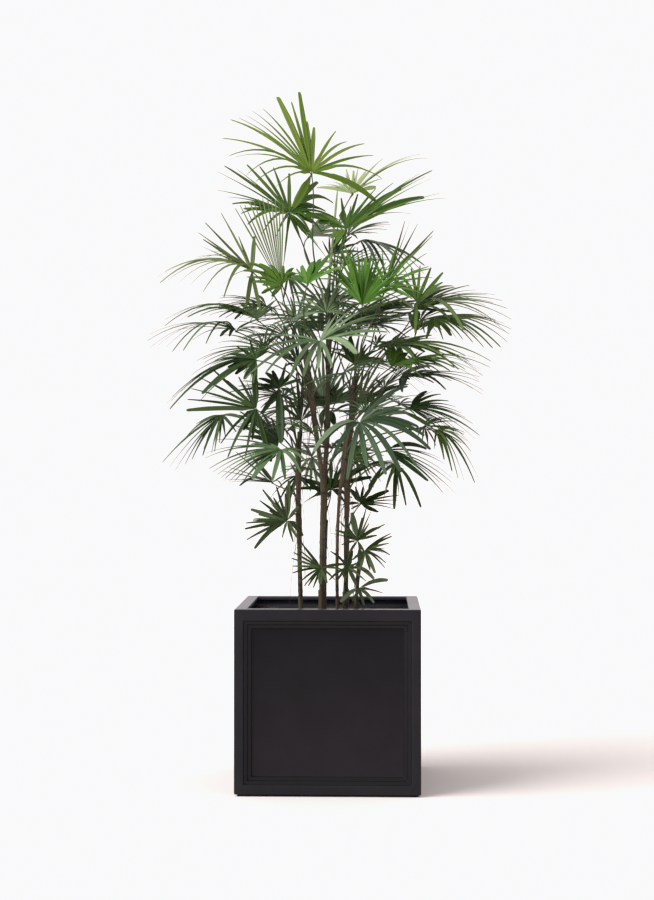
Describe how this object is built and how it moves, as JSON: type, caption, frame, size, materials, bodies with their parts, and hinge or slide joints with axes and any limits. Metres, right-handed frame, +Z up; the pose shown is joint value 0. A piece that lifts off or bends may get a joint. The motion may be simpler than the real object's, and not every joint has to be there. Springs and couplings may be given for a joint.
{
  "type": "potted palm",
  "caption": "Potted finger palm: bamboo-like canes carrying fans of narrow folded leaflets on thin stalks, in a square black planter with a stepped panel in each side.",
  "frame": {"origin": "middle of the planter's flat underside, on the floor", "axes": "+Z up along the canes, -Y towards the front that faces the viewer in the picture, +X to the right there"},
  "size_m": [0.7786, 0.7104, 1.4767],
  "materials": {
    "pot": "matt charcoal black, slightly soft edges",
    "soil": "dark, grainy potting mix",
    "cane": "ringed cane under brown fibre",
    "spear": "pale, folded, smooth",
    "young": "bright yellow-green leaf, satin",
    "mid": "green leaf, satin",
    "dark": "dark green leaf, satin",
    "light": "bluish green leaf with a sheen",
    "grey": "grey-green leaf, satin",
    "pale": "pale new leaf, satin"
  },
  "bodies": {
    "root": {"pot": "pot", "soil": "soil", "cane_a": "cane", "cane_b": "cane", "cane_c": "cane", "cane_d": "cane", "cane_e": "cane", "cane_f": "cane", "spear_c": "spear", "frond_a_1": "dark", "frond_a_2": "dark", "frond_a_3": "dark", "frond_a_4": "mid", "frond_a_5": "mid", "frond_a_6": "grey", "frond_a_7": "dark", "frond_a_8": "mid", "frond_b_1": "pale", "frond_b_2": "mid", "frond_b_3": "young", "frond_b_4": "young", "frond_b_5": "grey", "frond_b_6": "dark", "frond_b_7": "mid", "frond_b_8": "dark", "frond_b_9": "light", "frond_b_10": "mid", "frond_c_1": "young", "frond_c_2": "mid", "frond_c_3": "mid", "frond_c_4": "pale", "frond_c_5": "grey", "frond_c_6": "grey", "frond_c_7": "grey", "frond_c_8": "grey", "frond_c_9": "dark", "frond_c_10": "grey", "frond_c_11": "grey", "frond_c_12": "dark", "frond_d_1": "dark", "frond_d_2": "light", "frond_e_1": "dark", "frond_e_2": "young", "frond_e_3": "mid", "frond_e_4": "mid", "frond_e_5": "grey", "frond_e_6": "dark", "frond_e_7": "dark", "frond_e_8": "mid", "frond_e_9": "dark", "frond_e_10": "grey", "frond_e_11": "mid", "frond_e_12": "mid", "frond_e_13": "dark", "frond_e_14": "mid", "frond_e_15": "dark", "frond_e_16": "mid", "frond_f_1": "mid", "frond_f_2": "mid", "frond_f_3": "mid"}
  },
  "joints": []
}
